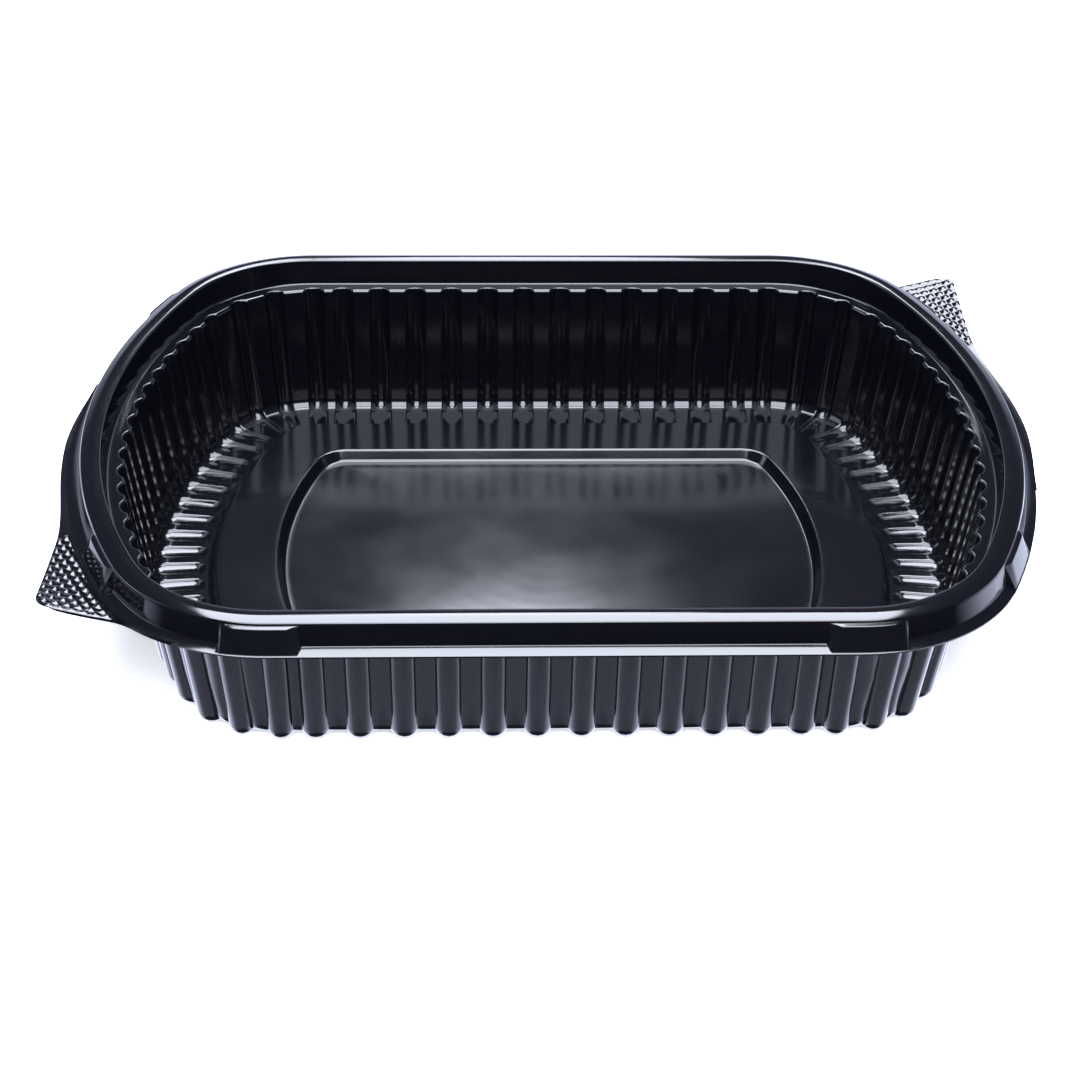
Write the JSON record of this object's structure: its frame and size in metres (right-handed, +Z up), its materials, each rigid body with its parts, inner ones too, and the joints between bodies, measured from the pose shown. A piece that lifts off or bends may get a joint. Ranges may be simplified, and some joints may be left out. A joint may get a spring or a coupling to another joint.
{
  "type": "takeaway meal container",
  "caption": "Shallow oblong tray of thin black plastic with fluted walls, a snap bead round the rim, a stepped floor and grip tabs at two opposite corners.",
  "frame": {"origin": "middle of the tray on the surface that it stands on", "axes": "+X along the long sides, +Y along the short way across, +Z up out of the mouth"},
  "size_m": [0.2294, 0.1796, 0.0411],
  "materials": {
    "black_plastic": "gloss"
  },
  "bodies": {
    "root": {"tray": "black_plastic"}
  },
  "joints": []
}
